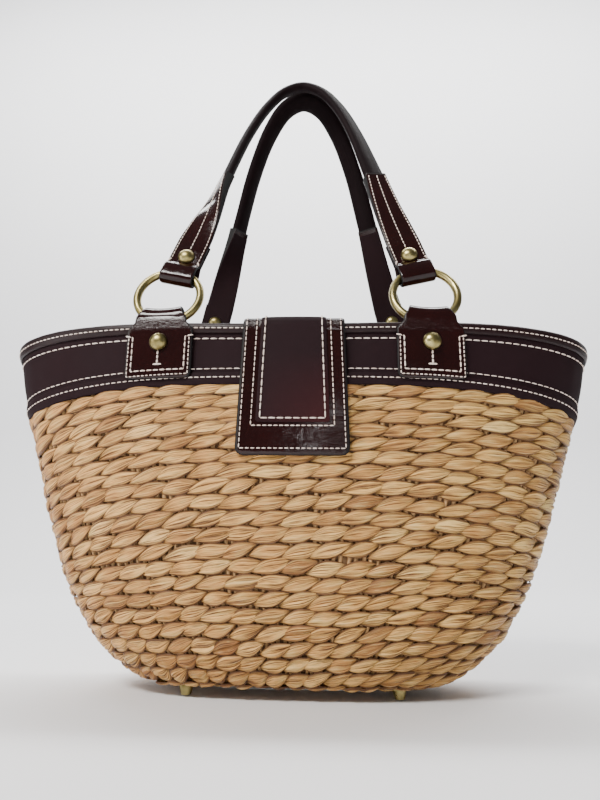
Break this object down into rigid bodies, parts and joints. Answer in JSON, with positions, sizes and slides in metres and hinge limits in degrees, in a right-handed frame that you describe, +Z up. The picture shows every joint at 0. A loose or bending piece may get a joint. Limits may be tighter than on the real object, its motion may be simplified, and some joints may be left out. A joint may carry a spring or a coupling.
{
  "type": "straw basket bag",
  "caption": "Oval woven straw basket bag with a dark leather rim, closure flap, ring tabs, twisted leather handles and brass feet, shown hanging by its handles",
  "frame": {"origin": "Where the bag hangs: the underside of the two handles at their apex, midway between them.", "axes": "+Z is up, -Y is the front with the flap, +X is the right side seen from the front."},
  "size_m": [0.3912, 0.1552, 0.4513],
  "materials": {
    "straw": "twined dried leaves, satin",
    "matte": "matte grained leather",
    "patent": "glossy patent leather",
    "brass": "antique, softly polished"
  },
  "bodies": {
    "root": {"basket_body": "straw", "rim_band": "matte", "rim_binding": "patent", "rim_lower_trim": "matte", "closure_flap": "patent", "flap_panel": "matte", "handle_front": "matte", "ring_tab_front_left": "patent", "tab_stud_front_left": "brass", "ring_front_left": "brass", "handle_end_front_left": "patent", "handle_stud_front_left": "brass", "handle_stud_inner_front_left": "brass", "foot_front_left": "brass", "ring_tab_front_right": "patent", "tab_stud_front_right": "brass", "ring_front_right": "brass", "handle_end_front_right": "patent", "handle_stud_front_right": "brass", "handle_stud_inner_front_right": "brass", "foot_front_right": "brass", "handle_back": "matte", "ring_tab_back_left": "patent", "tab_stud_back_left": "brass", "ring_back_left": "brass", "handle_end_back_left": "patent", "handle_stud_back_left": "brass", "handle_stud_inner_back_left": "brass", "foot_back_left": "brass", "ring_tab_back_right": "patent", "tab_stud_back_right": "brass", "ring_back_right": "brass", "handle_end_back_right": "patent", "handle_stud_back_right": "brass", "handle_stud_inner_back_right": "brass", "foot_back_right": "brass"}
  },
  "joints": []
}
